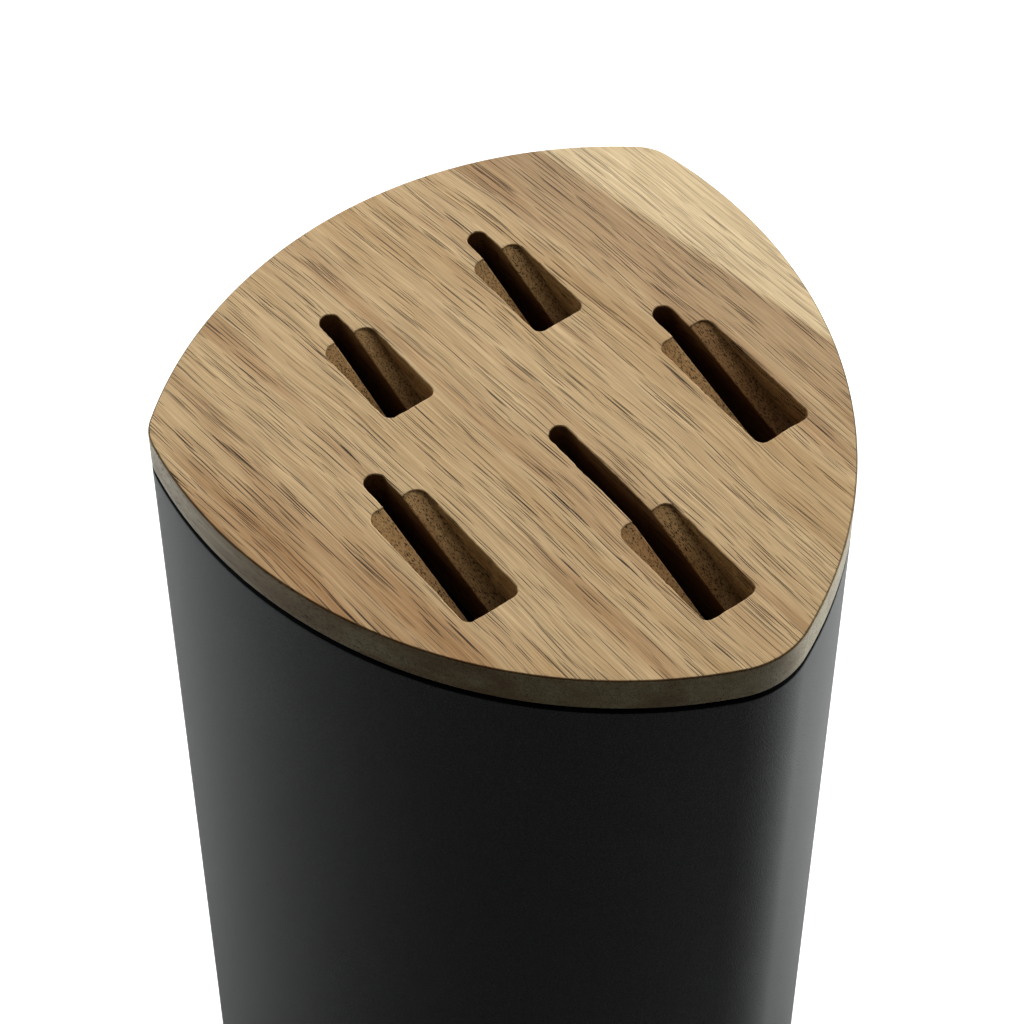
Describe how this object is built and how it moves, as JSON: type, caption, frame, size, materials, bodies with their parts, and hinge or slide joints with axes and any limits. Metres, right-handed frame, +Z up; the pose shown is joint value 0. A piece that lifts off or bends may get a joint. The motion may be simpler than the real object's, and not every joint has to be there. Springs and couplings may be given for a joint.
{
  "type": "knife block",
  "caption": "Tall rounded-triangle canister with a slotted wooden lid that lifts off; each slot has a sloped pocket for a knife's heel.",
  "frame": {"origin": "under the middle of the plan's bounding box, on the surface that the feet stand on", "axes": "+Z up; the tip of the rounded triangle points to -Y, the slots run along Y, and the plan mirrors about X = 0"},
  "size_m": [0.1418, 0.151, 0.25],
  "materials": {
    "acacia": "oiled acacia, satin, long grain nearly along the slots, a pale sapwood streak at one rear corner",
    "canister": "fine-textured matte black outside",
    "moulded_black": "plain moulded black",
    "foot_rubber": "dull dark grey rubber",
    "screw_steel": "zinc-plated steel"
  },
  "bodies": {
    "stand": {"canister_shell": "canister", "base_plate": "moulded_black", "blade_guide": "moulded_black", "base_screw_1": "screw_steel", "base_screw_2": "screw_steel", "base_screw_3": "screw_steel", "base_screw_4": "screw_steel", "base_screw_5": "screw_steel", "base_screw_6": "screw_steel", "guide_screw_1": "screw_steel", "guide_screw_2": "screw_steel", "guide_screw_3": "screw_steel", "foot_1": "foot_rubber", "foot_2": "foot_rubber", "foot_3": "foot_rubber"},
    "lid": {"lid_board": "acacia", "lid_collar": "moulded_black", "lid_screw_1": "screw_steel", "lid_screw_2": "screw_steel", "lid_screw_3": "screw_steel", "lid_screw_4": "screw_steel", "lid_screw_5": "screw_steel", "lid_screw_6": "screw_steel"}
  },
  "joints": [
    {"name": "lid_lift", "type": "slide", "parent": "stand", "child": "lid", "axis": [0, 0, 1], "range_m": [0, 0.05]}
  ]
}
